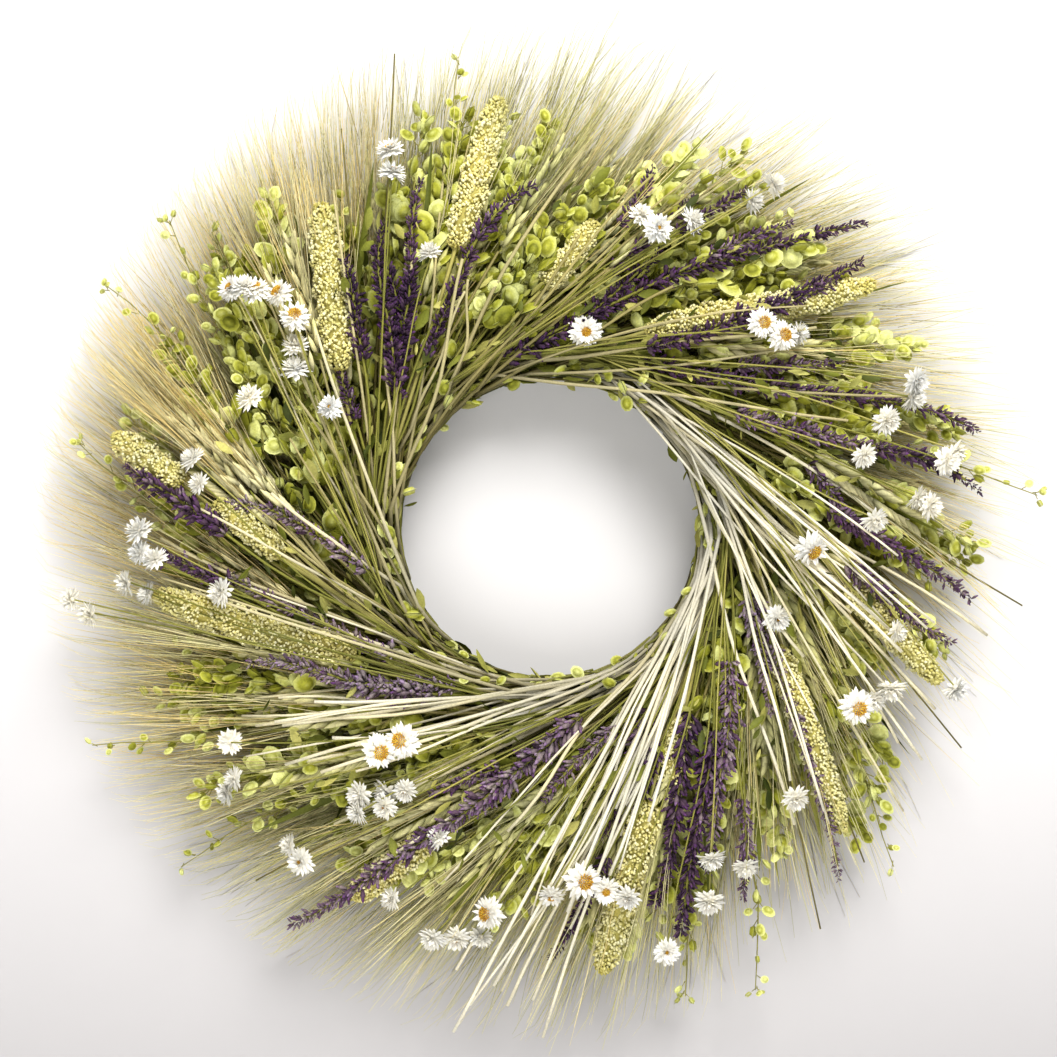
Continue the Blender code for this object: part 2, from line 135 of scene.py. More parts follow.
# Ammobium heads of each bunch: share, run, how far the head turns to the viewer,
# and the state of its centre from closed and white to open and orange
AMMOBIUM_HEADS = (
    ((0.94, 208, 0.25, 0.6), (0.93, 194, 0.2, 0.5), (0.62, 132, 0.5, 0.2)),
    ((0.38, 192, 0.4, 0.2), (0.39, 207, 0.3, 0.1), (0.63, 152, 0.5, 0.2),
     (0.5, 146, 0.5, 0.2), (0.44, 160, 0.3, 0.1)),
    ((0.68, 130, 0.5, 0.8), (0.58, 134, 0.6, 1.0), (0.6, 144, 0.3, 0.1), (0.39, 198, 0.2, 0.1),
     (0.31, 192, 0.3, 0.2), (0.17, 171, 0.5, 0.2), (0.06, 203, 0.4, 0.1), (0.89, 48, 0.9, 0.5),
     (0.12, 210, 0.3, 0.1)),
    ((0.93, 148, 0.6, 0.2), (0.85, 181, 0.3, 0.1), (0.83, 188, 0.4, 0.2), (0.14, 103, 0.5, 0.9),
     (0.22, 174, 0.4, 0.1), (0.26, 224, 0.2, 0.1), (0.04, 185, 0.3, 0.3), (0.62, 150, 0.3, 0.1)),
    ((0.82, 170, 0.6, 0.9), (0.93, 178, 0.3, 0.3), (0.37, 178, 0.6, 0.2), (0.1, 196, 0.4, 0.1),
     (0.55, 90, 0.5, 0.1)),
    ((0.94, 206, 0.7, 0.2), (0.79, 229, 0.8, 0.2), (0.92, 178, 0.5, 0.1), (0.44, 180, 0.6, 0.6),
     (0.3, 171, 0.4, 0.9), (0.2, 178, 0.4, 0.5), (0.05, 212, 0.4, 0.2), (0.02, 196, 0.5, 0.8),
     (0.56, 186, 0.5, 0.1)),
    ((0.89, 218, 0.5, 0.1), (0.97, 216, 0.6, 0.2), (0.56, 156, 0.4, 0.1), (0.12, 140, 0.3, 0.1),
     (0.15, 132, 0.5, 0.1), (0.09, 152, 0.4, 0.1), (0.21, 149, 0.5, 0.2), (0.18, 161, 0.4, 0.1),
     (0.22, 208, 0.5, 0.1), (0.3, 213, 0.4, 0.2), (0.66, 204, 0.4, 0.2)),
    ((0.83, 120, 0.9, 1.0), (0.79, 103, 0.8, 1.0), (0.92, 213, 0.4, 0.1), (0.86, 203, 0.5, 0.1),
     (0.69, 193, 0.4, 0.1), (0.17, 257, 0.3, 0.1), (0.2, 246, 0.3, 0.1), (0.04, 219, 0.3, 0.2),
     (0.06, 207, 0.3, 0.1)),
    ((0.9, 209, 0.4, 0.1), (0.91, 199, 0.4, 0.1), (0.83, 210, 0.3, 0.2), (0.46, 170, 0.3, 0.1),
     (0.4, 178, 0.3, 0.1), (0.91, 157, 0.5, 0.1)),
    ((0.75, 200, 0.5, 0.5), (0.66, 188, 0.5, 0.9), (0.53, 172, 0.5, 0.9), (0.5, 155, 0.95, 1.0),
     (0.55, 143, 0.4, 0.2), (0.6, 134, 0.4, 0.1), (0.93, 152, 0.5, 0.2), (0.4, 96, 0.7, 0.1),
     (0.7, 194, 0.2, 0.3)),
)

# Bare straws of each bunch: how many, shares and runs that their tips spread over,
# and tone from grey-green to cream
STRAWS = (
    (8, 0.1, 0.9, 90, 200, 0.4),
    (7, 0.1, 0.9, 90, 190, 0.35),
    (6, 0.1, 0.9, 110, 200, 0.5),
    (17, 0.05, 0.7, 120, 250, 0.95),
    (12, 0.35, 0.98, 110, 235, 0.85),
    (28, 0.02, 0.55, 120, 276, 1.0),
    (6, 0.1, 0.98, 110, 220, 0.8),
    (16, 0.45, 0.95, 110, 228, 0.9),
    (9, 0.15, 0.98, 110, 225, 0.7),
    (9, 0.2, 0.98, 100, 210, 0.45),
)

# Pennycress of each bunch: sprays, shares and runs that their tips spread over
PENNYCRESS = (
    (19, 0.15, 0.98, 110, 226),
    (20, 0.02, 0.98, 100, 218),
    (18, 0.02, 0.98, 100, 218),
    (14, 0.02, 0.98, 100, 226),
    (14, 0.05, 0.98, 90, 232),
    (16, 0.02, 0.98, 90, 228),
    (19, 0.02, 0.98, 80, 208),
    (16, 0.1, 0.98, 100, 236),
    (11, 0.05, 0.98, 110, 232),
    (20, 0.2, 0.98, 100, 236),
)

# Thin pod sprays that trail past the others: bunch, share, run of the tip
TRAILING_SPRAYS = (
    (3, 0.07, 254), (5, 0.74, 250), (5, 0.17, 268), (6, 0.87, 257), (7, 0.06, 262),
    (8, 0.68, 264), (9, 0.7, 253), (9, 0.1, 262), (10, 0.92, 258), (1, 0.7, 250),
)

# Bare dark stems that stick out past the beards: bunch, share, run of the tip
STRAY_STEMS = (
    (1, 0.97, 267), (4, 0.68, 253), (4, 0.14, 245), (5, 0.39, 256), (5, 0.61, 240),
    (10, 0.16, 235), (10, 0.74, 231), (7, 0.3, 240),
)

# Tone of the beards of each bunch, from green to gold, and its heads of wheat further forward
BEARD_TONES = (0.45, 0.6, 0.7, 0.75, 0.6, 0.5, 0.5, 0.75, 0.95, 0.8)
FRONT_HEADS = (3, 2, 2, 3, 6, 6, 5, 8, 10, 4)

# How many loose awns and heads each bunch has, and how far its beards reach, as a change of run
LOOSE_AWNS = (170, 120, 110, 70, 50, 200, 280, 400, 480, 380)
BEARD_HEADS = (28, 26, 24, 20, 17, 24, 27, 31, 31, 31)
BEARD_REACH = (4.0, -2.0, -6.0, -16.0, -16.0, -2.0, 0.0, 0.0, 6.0, 6.0)


# ---- places and paths

def unit(vectors):
    """Return the vectors at length one."""
    return vectors / np.maximum(np.linalg.norm(vectors, axis=-1, keepdims=True), 1e-9)


def bunch_foot(bunch, share):
    """Return the foot in degrees of a share of a bunch, counted from its clockwise side."""
    return FIRST_BUNCH_CLOCK + BUNCH_STEP * (bunch + 1.0 - np.asarray(share, float))


def ring_point(clock, radius, y):
    """Return points at clock angles in degrees, radii and depths."""
    angle = np.radians(clock)
    return np.stack(np.broadcast_arrays(radius * np.sin(angle), y, radius * np.cos(angle)), axis=-1)


def line_place(foot, run):
    """Return clock angle and radius of places on lines."""
    return foot + np.degrees(np.arctan2(run, FOOT_RADIUS)), np.hypot(FOOT_RADIUS, run)


def random_tones(rng, middle, spread, count):
    """Return random tones between 0 and 1 about a middle."""
    return np.clip(rng.normal(middle, spread, count), 0.0, 1.0)


def layer_y(depth, run):
    """Return the depth at a run of a layer: thin near the ring, drawn in at the tips."""
    rise = RISE_START + (1.0 - RISE_START) * np.clip(run / RISE_RUN, 0.0, 1.0)
    draw_in = 1.0 - DRAW_IN_RATE * np.maximum(0.0, run - DRAW_IN_RUN)
    raised = np.where(depth < -CORE_DEPTH, -CORE_DEPTH + (depth + CORE_DEPTH) * rise, depth)
    return raised * draw_in


def layer_point(foot, run, depth):
    """Return points at runs on the lines of feet, in the layer of a depth."""
    clock, radius = line_place(foot, run)
    return ring_point(clock, radius, layer_y(depth, run))


def stem_paths(rng, bunch, share, run, depth, base_radius, scatter=3.0, bow=2.0, steps=9, tail=16.0):
    """Return one path for each stem: along the ring, off it, and straight out to its tip."""
    foot = np.atleast_1d(bunch_foot(bunch, share))
    count = len(foot)
    run, depth, base_radius = (np.broadcast_to(value, (count,)) for value in (run, depth, base_radius))
    clock, radius = line_place(foot, run)
    leave = clock - np.degrees(np.arccos(np.clip(base_radius / radius, -1.0, 1.0)))
    leave = leave + rng.normal(0.0, scatter, count)
    tip = ring_point(clock, radius, layer_y(depth, run))
    start = ring_point(leave, base_radius, layer_y(depth, 0.0))
    t = np.linspace(0.0, 1.0, steps)[None, :, None]
    straight = start[:, None, :] + (tip - start)[:, None, :] * t
    straight[:, :, 1] = layer_y(depth[:, None], run[:, None] * t[:, :, 0])
    across = unit(np.cross(unit(tip - start), DEPTH_AXIS))
    bends = rng.normal(0.0, bow, count)[:, None, None] * np.sin(math.pi * t)
    wave = rng.normal(0.0, bow * 0.25, count)[:, None, None] * np.sin(3.0 * math.pi * t)
    straight = straight + across[:, None, :] * (bends + wave)
    back = np.linspace(-tail, -tail / 3.0, 3)[None, :]
    wound = ring_point(
        leave[:, None] + back,
        base_radius[:, None] + 0.0 * back,
        layer_y(depth[:, None], 0.0) * (1.0 + 0.5 * back / tail),
    )
    return np.concatenate([wound, straight], axis=1)


def read_between(wanted, places, rows):
    """Return the rows of three numbers at wanted places, from rows at known places."""
    return np.stack([np.interp(wanted, places, rows[:, axis]) for axis in range(3)], axis=1)


def resample(path, count):
    """Return a path as count points at even spacing."""
    lengths = np.concatenate([[0.0], np.cumsum(np.linalg.norm(np.diff(path, axis=0), axis=1))])
    return read_between(np.linspace(0.0, lengths[-1], count), lengths, path)


def on_path(path, share):
    """Return points and directions at shares of a path of evenly spaced points."""
    places = np.linspace(0.0, 1.0, len(path))
    ahead = unit(np.gradient(path, axis=0))
    return read_between(share, places, path), unit(read_between(share, places, ahead))


def outward(ahead, turn):
    """Return unit vectors across the directions ahead, at angles round them."""
    side = unit(np.cross(ahead, DEPTH_AXIS))
    up = np.cross(side, ahead)
    return np.cos(turn)[:, None] * side + np.sin(turn)[:, None] * up


def axes_for(along, hint):
    """Return axes whose third row runs along a direction and whose first is near a hint."""
    third = unit(along)
    first = unit(hint - np.sum(hint * third, axis=-1, keepdims=True) * third)
    return np.stack([first, np.cross(third, first), third], axis=-2)


def facing_axes(rng, angle, spread, tilt):
    """Return axes that point along angles in degrees, with a random swing, tilt and turn."""
    count = len(angle)
    way = np.radians(angle + rng.normal(0.0, spread, count))
    ahead = np.stack([np.cos(way), rng.normal(0.0, tilt, count), -np.sin(way)], axis=1)
    return axes_for(ahead, outward(unit(ahead), rng.uniform(*ANY_TURN, count)))


def trim_reach(points):
    """Draw in what goes past the trim radius, so that nothing goes past the largest one."""
    radius = np.hypot(points[:, 0], points[:, 2])
    past = np.maximum(radius - TRIM_RADIUS, 0.0)
    room = LARGEST_RADIUS - TRIM_RADIUS
    trimmed = np.minimum(radius, TRIM_RADIUS) + room * np.tanh(past / room)
    share = (trimmed / np.maximum(radius, 1.0))[:, None]
    return points * np.where(past[:, None] > 0.0, [1.0, 0.0, 1.0] * share + [0.0, 1.0, 0.0], 1.0)


# ---- mesh building

def new_object(name, data):
    """Return a new object in the scene."""
    thing = bpy.data.objects.new(name, data)
    bpy.context.collection.objects.link(thing)
    return thing


class Heap:
    """Gathers the points, faces and tints of one piece.

    A tint holds a random tone, the place along the element and the kind of part.
    """

    def __init__(self):
        self.points = []
        self.tints = []
        self.faces = []
        self.count = 0

    def add(self, points, faces, tints):
        """Add points with faces as index arrays, one array for each number of corners."""
        points = points.reshape(-1, 3)
        self.points.append(points)
        self.tints.append(tints)
        self.faces.extend(array + self.count for array in faces)
        self.count += len(points)

    def build(self, kind, bunch, slot, node_kind=None):
        """Make the mesh object of one bunch in the frame and let it ride on the wreath."""
        name = f"{kind}_{bunch + 1:02d}"
        mesh = bpy.data.meshes.new(name)
        points = trim_reach(np.concatenate(self.points))
        points[:, 1] = np.minimum(points[:, 1], -WALL_CLEARANCE)
        points = points * MM + RING_CENTRE
        corners = np.concatenate([array.ravel() for array in self.faces])
        sizes = np.concatenate([np.full(len(array), array.shape[1]) for array in self.faces])
        mesh.vertices.add(len(points))
        mesh.vertices.foreach_set("co", points.astype(np.float32).ravel())
        mesh.loops.add(len(corners))
        mesh.loops.foreach_set("vertex_index", corners.astype(np.int32))
        mesh.polygons.add(len(sizes))
        starts = np.concatenate([[0], np.cumsum(sizes)[:-1]])
        mesh.polygons.foreach_set("loop_start", starts.astype(np.int32))
        mesh.polygons.foreach_set("use_smooth", np.ones(len(sizes), dtype=bool))
        mesh.update(calc_edges=True)
        tints = np.concatenate(self.tints)
        colours = np.ones((len(points), 4), dtype=np.float32)
        colours[:, :3] = tints
        layer = mesh.attributes.new("tint", "FLOAT_COLOR", "POINT")
        layer.data.foreach_set("color", colours.ravel())
        mesh.materials.append(materials[slot])
        piece = new_object(name, mesh)
        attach(piece, "root")
        if node_kind:
            replaced = f"{node_kind}_{bunch + 1:02d}"
            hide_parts(replaced)


def make_tints(size, tone, along, part):
    """Return the tints of points that are laid out as an array of the given size."""
    tints = np.empty((*size, 3))
    for channel, value in enumerate((tone, along, part)):
        tints[..., channel] = value
    return tints.reshape(-1, 3)


def ring_quads(index):
    """Return the faces between neighbouring rings of point numbers."""
    here, there = index[..., :-1, :], index[..., 1:, :]
    quads = np.stack([here, np.roll(here, -1, axis=-1), np.roll(there, -1, axis=-1), there], axis=-1)
    return quads.reshape(-1, 4)


def add_tubes(heap, paths, radii, sides, tone, part, cap=False, flat=1.0):
    """Add one tube along each path, its radii given along the path."""
    count, steps, _ = paths.shape
    radii = np.broadcast_to(radii, (count, steps))
    ahead = unit(np.gradient(paths, axis=1))
    side = unit(np.cross(ahead, DEPTH_AXIS))
    up = np.cross(side, ahead)
    turn = FULL_TURN * np.arange(sides) / sides
    section = (
        np.cos(turn)[None, None, :, None] * side[:, :, None, :]
        + flat * np.sin(turn)[None, None, :, None] * up[:, :, None, :]
    )
    points = paths[:, :, None, :] + radii[:, :, None, None] * section
    index = np.arange(count * steps * sides).reshape(count, steps, sides)
    faces = [ring_quads(index)]
    if cap:
        faces += [index[:, -1, :], index[:, 0, ::-1]]
    tone = np.broadcast_to(np.asarray(tone, float), (count,))[:, None, None]
    tints = make_tints((count, steps, sides), tone, np.linspace(0.0, 1.0, steps)[None, :, None], part)
    heap.add(points, faces, tints)


def add_copies(heap, shape, places, axes, scale, tone):
    """Add a copy of a shape at each place, turned by axes and scaled along them."""
    count = len(places)
    scale = np.asarray(scale, float)
    if scale.ndim == 1:
        scale = np.repeat(scale[:, None], 3, axis=1)
    turned = axes * scale[:, :, None]
    points = np.einsum("vi,nij->nvj", shape["points"], turned) + places[:, None, :]
    size = len(shape["points"])
    step = (np.arange(count) * size)[:, None, None]
    faces = [(array[None] + step).reshape(-1, array.shape[1]) for array in shape["faces"]]
    tone = np.clip(np.broadcast_to(tone, (count,))[:, None] + shape["tone"], 0.0, 1.0)
    heap.add(points, faces, make_tints((count, size), tone, shape["along"], shape["part"]))


def shape_of(heap):
    """Return what a heap holds as a shape that can be copied."""
    tints = np.concatenate(heap.tints)
    return {
        "points": np.concatenate(heap.points),
        "faces": heap.faces,
        "tone": tints[:, 0] - 0.5,
        "along": tints[:, 1],
        "part": tints[:, 2],
    }


def turned_shape(profile, sides, part, flat=1.0):
    """Return a closed shape turned about its third axis from (height, radius) places."""
    heap = Heap()
    heights = np.array([place[0] for place in profile])
    radii = np.array([place[1] for place in profile])
    turn = FULL_TURN * np.arange(sides) / sides
    points = np.stack([
        radii[:, None] * np.cos(turn),
        flat * radii[:, None] * np.sin(turn),
        np.repeat(heights[:, None], sides, axis=1),
    ], axis=-1)
    index = np.arange(len(profile) * sides).reshape(len(profile), sides)
    along = ((heights - heights[0]) / (heights[-1] - heights[0]))[:, None]
    faces = [ring_quads(index), index[-1:, :], index[:1, ::-1]]
    heap.add(points, faces, make_tints((len(profile), sides), 0.5, along, part))
    return shape_of(heap)


def blade_shape(outline, cup, curl, part, columns=3):
    """Return a leaf or petal of unit length: (height, half width) places, cupped and curled."""
    heap = Heap()
    heights = np.array([place[0] for place in outline])
    halves = np.array([place[1] for place in outline])
    across = np.linspace(-1.0, 1.0, columns)
    points = np.stack([
        halves[:, None] * across[None, :],
        cup * halves[:, None] * across[None, :] ** 2 + curl * heights[:, None] ** 2,
        np.repeat(heights[:, None], columns, axis=1),
    ], axis=-1)
    index = np.arange(len(outline) * columns).reshape(len(outline), columns)
    quads = np.stack([index[:-1, :-1], index[:-1, 1:], index[1:, 1:], index[1:, :-1]], axis=-1)
    tints = make_tints((len(outline), columns), 0.5, heights[:, None], part)
    heap.add(points, [quads.reshape(-1, 4)], tints)
    return shape_of(heap)


# ---- materials

def ramp_node(tree, stops):
    """Return a colour ramp with the given (place, colour) stops."""
    ramp = tree.nodes.new("ShaderNodeValToRGB")
    elements = ramp.color_ramp.elements
    while len(elements) < len(stops):
        elements.new(0.5)
    for element, (place, colour) in zip(elements, stops):
        element.position = place
        element.color = (*colour, 1.0)
    return ramp


def tone_of(tree, value, stops):
    """Return the colour that a ramp gives for a value."""
    ramp = ramp_node(tree, stops)
    tree.links.new(value, ramp.inputs["Fac"])
    return ramp.outputs["Color"]


def mix_node(tree, kind, factor, first, second):
    """Return the output of a colour mix of two sockets, by a number or a third socket."""
    mix = tree.nodes.new("ShaderNodeMix")
    mix.data_type = "RGBA"
    mix.blend_type = kind
    for socket, value in ((mix.inputs[0], factor), (mix.inputs[6], first), (mix.inputs[7], second)):
        if isinstance(value, bpy.types.NodeSocket):
            tree.links.new(value, socket)
        else:
            socket.default_value = value
    return mix.outputs[2]


def noise_node(tree, coords, scale, detail):
    """Return the value of a noise over the object."""
    noise = tree.nodes.new("ShaderNodeTexNoise")
    set_inputs(noise, {"Scale": scale, "Detail": detail})
    tree.links.new(coords, noise.inputs["Vector"])
    return noise.outputs["Fac"]


def set_inputs(node, values):
    """Set the named inputs of a node."""
    for name, value in values.items():
        node.inputs[name].default_value = value


def new_material(name, roughness):
    """Return a new node material with its node tree and shader."""
    material = bpy.data.materials.new(name)
    material.use_nodes = True
    shader = material.node_tree.nodes["Principled BSDF"]
    set_inputs(shader, {"Roughness": roughness})
    return material, material.node_tree, shader


def add_relief(tree, shader, height, strength, distance):
    """Raise the surface of a material by a height value."""
    relief = tree.nodes.new("ShaderNodeBump")
    set_inputs(relief, {"Strength": strength, "Distance": distance})
    tree.links.new(height, relief.inputs["Height"])
    tree.links.new(relief.outputs["Normal"], shader.inputs["Normal"])


def multiply_by_ramp(tree, colour, value, stops):
    """Return a colour times the colour that a ramp gives for a value."""
    return mix_node(tree, "MULTIPLY", 1.0, colour, tone_of(tree, value, stops))


def plant_material(name, ramps, roughness, painted_base_shade, speckle, bump, subsurface=0.0):
    """Return a material with one colour ramp over the tone for each part of the plant.

    Part values in the tint are 0, 0.5 and 1. The base shade is painted shade: how much darker
    an element is towards its base, where stems crowd near the ring; speckle is how strong the fine mottling
    is.
    """
    material, tree, shader = new_material(name, roughness)
    set_inputs(shader, {
        "Specular IOR Level": 0.22,
        "Subsurface Weight": subsurface,
        "Subsurface Scale": 0.0012,
        "Subsurface Radius": (1.0, 0.95, 0.88),
    })
    tint = tree.nodes.new("ShaderNodeAttribute")
    tint.attribute_name = "tint"
    split = tree.nodes.new("ShaderNodeSeparateColor")
    tree.links.new(tint.outputs["Color"], split.inputs["Color"])
    coords = tree.nodes.new("ShaderNodeTexCoord").outputs["Object"]
    colour = None
    for i, stops in enumerate(ramps):
        tone = tone_of(tree, split.outputs["Red"], stops)
        if colour is None:
            colour = tone
            continue
        choose = tree.nodes.new("ShaderNodeMath")
        choose.operation = "GREATER_THAN"
        tree.links.new(split.outputs["Blue"], choose.inputs[0])
        choose.inputs[1].default_value = 0.5 * i - 0.25
        colour = mix_node(tree, "MIX", choose.outputs[0], colour, tone)
    # Painted shade: each element is darker towards its base, where stems crowd in near the ring.
    shade = ((0.0, (1.0 - painted_base_shade,) * 3), (0.7, (1.0,) * 3))
    colour = multiply_by_ramp(tree, colour, split.outputs["Green"], shade)
    patch = noise_node(tree, coords, 900.0, 3.0)
    mottle = ((0.3, (1.0 - speckle,) * 3), (0.7, (1.0 + speckle * 0.5,) * 3))
    colour = multiply_by_ramp(tree, colour, patch, mottle)
    wide = noise_node(tree, coords, 28.0, 2.0)
    drift = ((0.3, (0.86, 0.88, 0.9)), (0.7, (1.1, 1.08, 1.0)))
    colour = multiply_by_ramp(tree, colour, wide, drift)
    tree.links.new(colour, shader.inputs["Base Color"])
    add_relief(tree, shader, patch, bump, 0.0004)
    return material


def coated_wire(name, colour, roughness):
    """Return enamelled wire with worn, slightly rusty patches."""
    material, tree, shader = new_material(name, roughness)
    coords = tree.nodes.new("ShaderNodeTexCoord").outputs["Object"]
    worn = noise_node(tree, coords, 320.0, 4.0)
    dark = tuple(channel * 0.7 for channel in colour)
    wear = tone_of(tree, worn, ((0.0, dark), (0.58, colour), (0.72, (0.16, 0.11, 0.07))))
    tree.links.new(wear, shader.inputs["Base Color"])
    add_relief(tree, shader, worn, 0.3, 0.0003)
    return material


# Colours of the plants from their dark to their pale tone
STRAW_RAMP = (
    (0.0, (0.13, 0.11, 0.025)), (0.35, (0.38, 0.33, 0.13)),
    (0.7, (0.69, 0.62, 0.38)), (1.0, (0.92, 0.87, 0.71)),
)
WHEAT_GRAIN_RAMP = ((0.0, (0.42, 0.43, 0.13)), (0.5, (0.70, 0.68, 0.30)), (1.0, (0.88, 0.81, 0.45)))
AWN_RAMP = (
    (0.0, (0.46, 0.45, 0.15)), (0.35, (0.82, 0.77, 0.37)),
    (0.7, (0.94, 0.86, 0.52)), (1.0, (0.90, 0.70, 0.28)),
)
GREEN_STEM_RAMP = ((0.0, (0.055, 0.062, 0.010)), (0.5, (0.22, 0.22, 0.038)), (1.0, (0.52, 0.46, 0.15)))
POD_RAMP = ((0.0, (0.13, 0.14, 0.006)), (0.45, (0.42, 0.43, 0.045)), (1.0, (0.84, 0.87, 0.35)))
LEAF_RAMP = ((0.0, (0.035, 0.048, 0.005)), (0.5, (0.20, 0.22, 0.024)), (1.0, (0.58, 0.54, 0.16)))
SEED_RAMP = ((0.0, (0.46, 0.40, 0.08)), (0.5, (0.82, 0.75, 0.29)), (1.0, (0.98, 0.94, 0.60)))
SALVIA_RAMP = ((0.0, (0.034, 0.011, 0.050)), (0.45, (0.130, 0.046, 0.170)), (1.0, (0.40, 0.28, 0.43)))
CALYX_RAMP = ((0.0, (0.024, 0.010, 0.028)), (0.5, (0.110, 0.060, 0.105)), (1.0, (0.34, 0.28, 0.28)))
PETAL_RAMP = ((0.0, (0.76, 0.68, 0.50)), (0.4, (0.93, 0.90, 0.81)), (1.0, (0.99, 0.975, 0.94)))
DISC_RAMP = ((0.0, (0.26, 0.10, 0.010)), (0.5, (0.56, 0.29, 0.020)), (1.0, (0.80, 0.56, 0.080)))

materials = {
    "wheat_straw": plant_material(
        "wheat_straw", (STRAW_RAMP, WHEAT_GRAIN_RAMP, AWN_RAMP),
        roughness=0.62, painted_base_shade=0.68, speckle=0.16, bump=0.12,
    ),
    "pennycress_pods": plant_material(
        "pennycress_pods", (GREEN_STEM_RAMP, POD_RAMP, LEAF_RAMP),
        roughness=0.6, painted_base_shade=0.2, speckle=0.2, bump=0.5,
    ),
    "setaria_seed": plant_material(
        "setaria_seed", (GREEN_STEM_RAMP, SEED_RAMP),
        roughness=0.65, painted_base_shade=0.35, speckle=0.15, bump=0.3,
    ),
    "salvia_bloom": plant_material(
        "salvia_bloom", (GREEN_STEM_RAMP, SALVIA_RAMP, CALYX_RAMP),
        roughness=0.75, painted_base_shade=0.35, speckle=0.3, bump=0.5,
    ),
    "ammobium_petal": plant_material(
        "ammobium_petal", (GREEN_STEM_RAMP, PETAL_RAMP, DISC_RAMP),
        roughness=0.55, painted_base_shade=0.08, speckle=0.04, bump=0.15, subsurface=0.4,
    ),
}


# ---- plant shapes

# A wheat grain in its husk, one long
grain = turned_shape(((0.0, 0.06), (0.35, 0.18), (0.7, 0.14), (1.0, 0.02)), 4, 0.5, 0.8)


def add_awns(heap, roots, ahead, lengths, bend, tone):
    """Add awns that run ahead from their roots and bend aside towards their tips."""
    t = np.linspace(0.0, 1.0, 4)[None, :, None]
    awns = roots[:, None, :] + ahead[:, None, :] * lengths[:, None, None] * t + bend * t ** 2
    add_tubes(heap, awns, np.linspace(*AWN_RADII, 4)[None, :], 3, tone, 1.0)


def wheat_head_shape(rng):
    """Return a bearded wheat head with its axis along the third axis."""
    heap = Heap()
    levels = 16
    sides = np.tile([-1.0, 1.0], levels)
    heights = np.repeat(np.arange(levels) * 3.5, 2) + np.tile([0.0, 1.75], levels)
    count = len(heights)
    taper = 1.0 - 0.35 * np.abs(heights / heights.max() - 0.4) ** 1.5
    fore = rng.choice([-1.0, 1.0], count) * 0.45
    out = np.stack([sides, fore, np.zeros(count)], axis=1)
    lean = rng.normal(0.34, 0.05, count)
    along = unit(out * lean[:, None] + UP_AXIS)
    places = np.stack([sides * 1.5, fore * 1.6, heights], axis=1)
    axes = axes_for(along, out)
    tone = random_tones(rng, 0.5, 0.12, count)
    add_copies(heap, grain, places, axes, 11.0 * taper, tone)
    tips = places + along * (10.0 * taper)[:, None]
    spread = unit(np.stack([
        sides * rng.uniform(0.02, 0.24, count),
        fore * rng.uniform(0.1, 0.4, count) + rng.normal(0.0, 0.05, count),
        np.ones(count),
    ], axis=1))
    lengths = rng.uniform(44.0, 72.0, count)
    bend = np.zeros((count, 1, 3))
    bend[:, :, :2] = rng.normal(0.0, 2.2, (count, 1, 2))
    add_awns(heap, tips, spread, lengths, bend, rng.random(count))
    return shape_of(heap)


def pod_shape():
    """Return a pennycress pod, one long: an oval with a thin rim, a keel and a blunt point."""
    heap = Heap()
    sides = 10
    turn = FULL_TURN * np.arange(sides) / sides
    reach = 0.5 * np.array([0.78, 0.84, 1.0, 1.0, 0.84, 0.78, 0.82, 0.94, 0.94, 0.82])
    rings = ((0.0, 0.21), (0.58, 0.13), (0.74, 0.03), (1.0, 0.015))
    points = []
    for sign in (1.0, -1.0):
        for share, half in rings:
            keel = 1.0 + 0.4 * np.abs(np.sin(turn)) * (0.0 < share < 0.7)
            points.append(np.stack([
                reach * share * np.cos(turn) * 0.95,
                sign * half * keel,
                0.5 + reach * share * np.sin(turn),
            ], axis=1))
    points = np.concatenate(points)
    index = np.arange(len(points)).reshape(2, len(rings), sides)
    faces = [ring_quads(index[0]), ring_quads(index[1])[:, ::-1]]
    tints = np.empty((len(points), 3))
    shares = np.tile(np.repeat([share for share, _ in rings], sides), 2)
    tints[:, 0] = 0.5 + np.interp(shares, (0.0, 0.58, 0.74, 1.0), (0.05, -0.24, 0.06, 0.24))
    tints[:, 1] = 0.35 + 0.65 * np.tile(reach * np.sin(turn) + 0.5, 2 * len(rings))
    tints[:, 2] = 0.5
    heap.add(points, faces, tints)
    return shape_of(heap)


